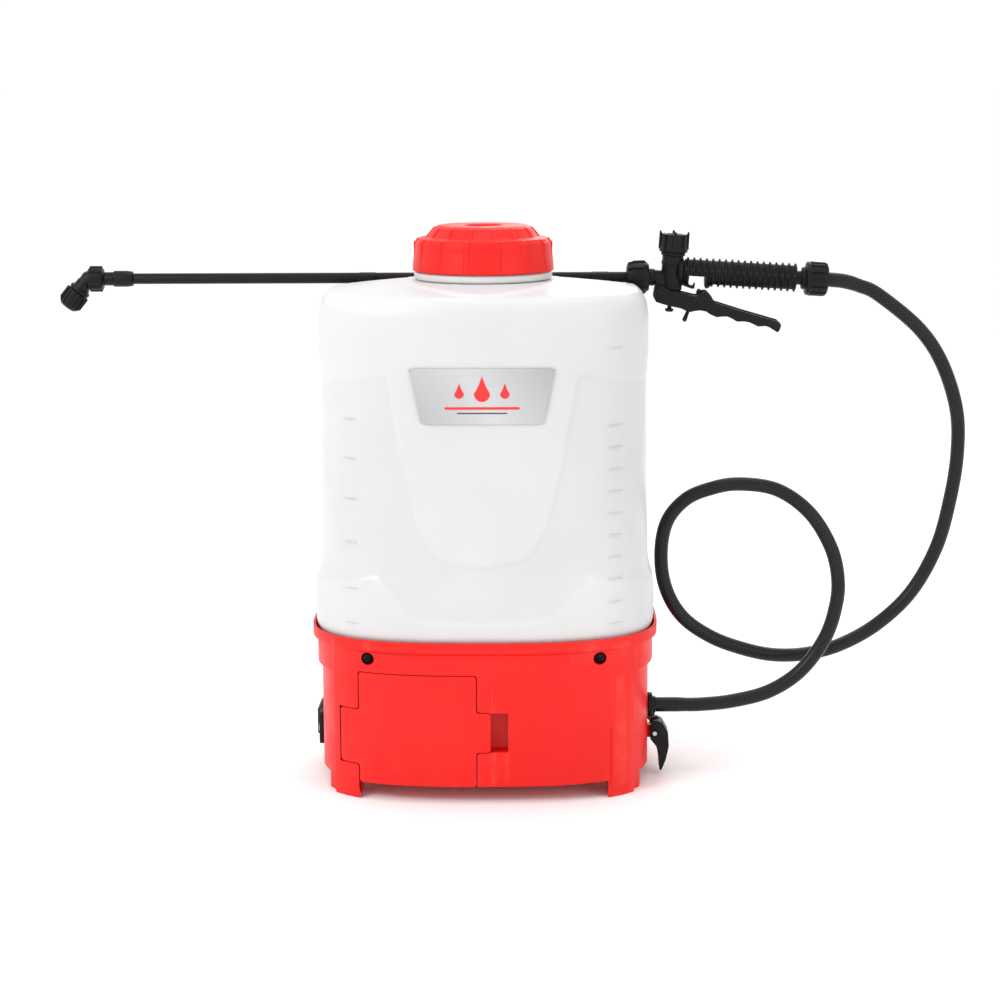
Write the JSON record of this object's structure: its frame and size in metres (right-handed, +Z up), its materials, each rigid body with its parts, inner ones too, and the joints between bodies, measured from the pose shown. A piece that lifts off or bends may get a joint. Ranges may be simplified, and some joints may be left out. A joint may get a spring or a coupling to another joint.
{
  "type": "knapsack sprayer",
  "caption": "Battery knapsack sprayer: translucent tank on a red pump base, ribbed filler cap, lance and trigger gun clipped behind the cap, looped hose and shoulder straps.",
  "frame": {"origin": "centre of the footprint of the box around the object without its hose, on the surface it stands on", "axes": "+Z up, front (label and battery door) faces -Y, the lance runs along X with its nozzle at -X"},
  "size_m": [0.8515, 0.264, 0.511],
  "materials": {
    "tank_plastic": "natural translucent polyethylene",
    "red_plastic": "moulded red, satin",
    "black_plastic": "moulded black, satin",
    "hose_rubber": "black hose with a pale braid showing through",
    "grip_rubber": "ribbed soft grip",
    "seal_rubber": "matt seal rubber",
    "steel": "plain steel",
    "brass": "turned brass",
    "label_film": "grey gradient film",
    "circuit_board": "green board",
    "strap_fabric": "black padded mesh fabric",
    "webbing": "black woven webbing",
    "strainer_mesh": "pale moulded mesh"
  },
  "bodies": {
    "machine": {"tank": "tank_plastic", "base_housing": "red_plastic", "base_tray": "red_plastic", "door_hinge_pin": "steel", "latch_pocket": "red_plastic", "housing_screw_left": "black_plastic", "housing_screw_right": "black_plastic", "hose_outlet_gland": "black_plastic", "battery_pack": "black_plastic", "pump_motor": "steel", "pump_head": "black_plastic", "pump_bracket": "steel", "tank_outlet_fitting": "black_plastic", "suction_hose": "hose_rubber", "delivery_hose": "hose_rubber", "control_board": "circuit_board", "switch_bezel": "black_plastic", "charge_socket": "black_plastic", "filler_strainer": "strainer_mesh", "front_label": "label_film", "lance_clip_left": "black_plastic", "lance_clip_right": "black_plastic", "lance_tube": "black_plastic", "lance_ferrule": "black_plastic", "gun_body": "black_plastic", "gun_front_nut": "black_plastic", "valve_seal_ring": "seal_rubber", "valve_cap": "black_plastic", "valve_spring": "steel", "grip_sleeve": "grip_rubber", "hose_nut": "black_plastic", "spray_hose": "hose_rubber", "strap_hook_left": "black_plastic", "strap_hook_right": "black_plastic", "hook_pin_left": "steel", "hook_pin_right": "steel", "back_pad": "strap_fabric", "strap_bracket": "black_plastic", "shoulder_strap_left": "strap_fabric", "shoulder_strap_right": "strap_fabric", "lower_webbing_left": "webbing", "lower_webbing_right": "webbing", "strap_buckle_left": "black_plastic", "strap_buckle_right": "black_plastic"},
    "seal": {"cap_gasket": "seal_rubber"},
    "cap": {"tank_cap": "red_plastic", "cap_breather": "black_plastic"},
    "door": {"battery_door": "red_plastic"},
    "lever": {"trigger_lever": "black_plastic", "lever_pin": "black_plastic"},
    "stem": {"valve_stem": "black_plastic"},
    "pawl": {"lock_pawl": "black_plastic", "pawl_pin": "black_plastic"},
    "nozzle_head": {"elbow_nut": "black_plastic", "lance_elbow": "black_plastic", "nozzle_tip": "brass"},
    "spray_cap": {"nozzle_cap": "black_plastic"},
    "switch": {"power_switch": "red_plastic"},
    "socket_cover": {"charge_cover": "seal_rubber"}
  },
  "joints": [
    {"name": "cap_lift", "type": "slide", "parent": "machine", "child": "seal", "axis": [0, 0, 1], "range_m": [0, 0.0122]},
    {"name": "cap_turn", "type": "hinge", "parent": "seal", "child": "cap", "pos_m": [0.0375, -0.0285, 0.49], "axis": [0, 0, 1], "range_deg": [0, 540]},
    {"name": "battery_door_hinge", "type": "hinge", "parent": "machine", "child": "door", "pos_m": [-0.0887, -0.0965, 0.057], "axis": [0, 0, -1], "range_deg": [0, 100]},
    {"name": "trigger_squeeze", "type": "hinge", "parent": "machine", "child": "lever", "pos_m": [0.20239, 0.0465, 0.44379], "axis": [0, -1, 0], "range_deg": [0, 12], "stiffness_Nm_per_rad": 1.2, "springref_deg": -5.73},
    {"name": "valve_stem_lift", "type": "slide", "parent": "machine", "child": "stem", "axis": [0.0628, 0, 0.998], "range_m": [0, 0.0019], "deforming": ["valve_spring"]},
    {"name": "lock_pawl_swing", "type": "hinge", "parent": "lever", "child": "pawl", "pos_m": [0.23316, 0.0465, 0.43444], "axis": [0, 1, 0], "range_deg": [0, 15]},
    {"name": "elbow_swivel", "type": "hinge", "parent": "machine", "child": "nozzle_head", "pos_m": [-0.3338, 0.0465, 0.4571], "axis": [1, 0, 0], "range_deg": [-90, 90]},
    {"name": "spray_cap_turn", "type": "hinge", "parent": "nozzle_head", "child": "spray_cap", "pos_m": [-0.34947, 0.0465, 0.43762], "axis": [-0.6266, 0, -0.7793], "continuous": true},
    {"name": "power_switch_rock", "type": "hinge", "parent": "machine", "child": "switch", "pos_m": [-0.0225, 0.07, 0.085], "axis": [0, 0, -1], "range_deg": [0, 12]},
    {"name": "socket_cover_hinge", "type": "hinge", "parent": "machine", "child": "socket_cover", "pos_m": [0.0675, 0.0745, 0.099], "axis": [1, 0, 0], "range_deg": [0, 110]}
  ],
  "couplings": [
    {"joint": "cap_lift", "follows": "cap_turn", "m_per_rad": 0.0012732},
    {"joint": "valve_stem_lift", "follows": "trigger_squeeze", "m_per_rad": 0.009}
  ]
}
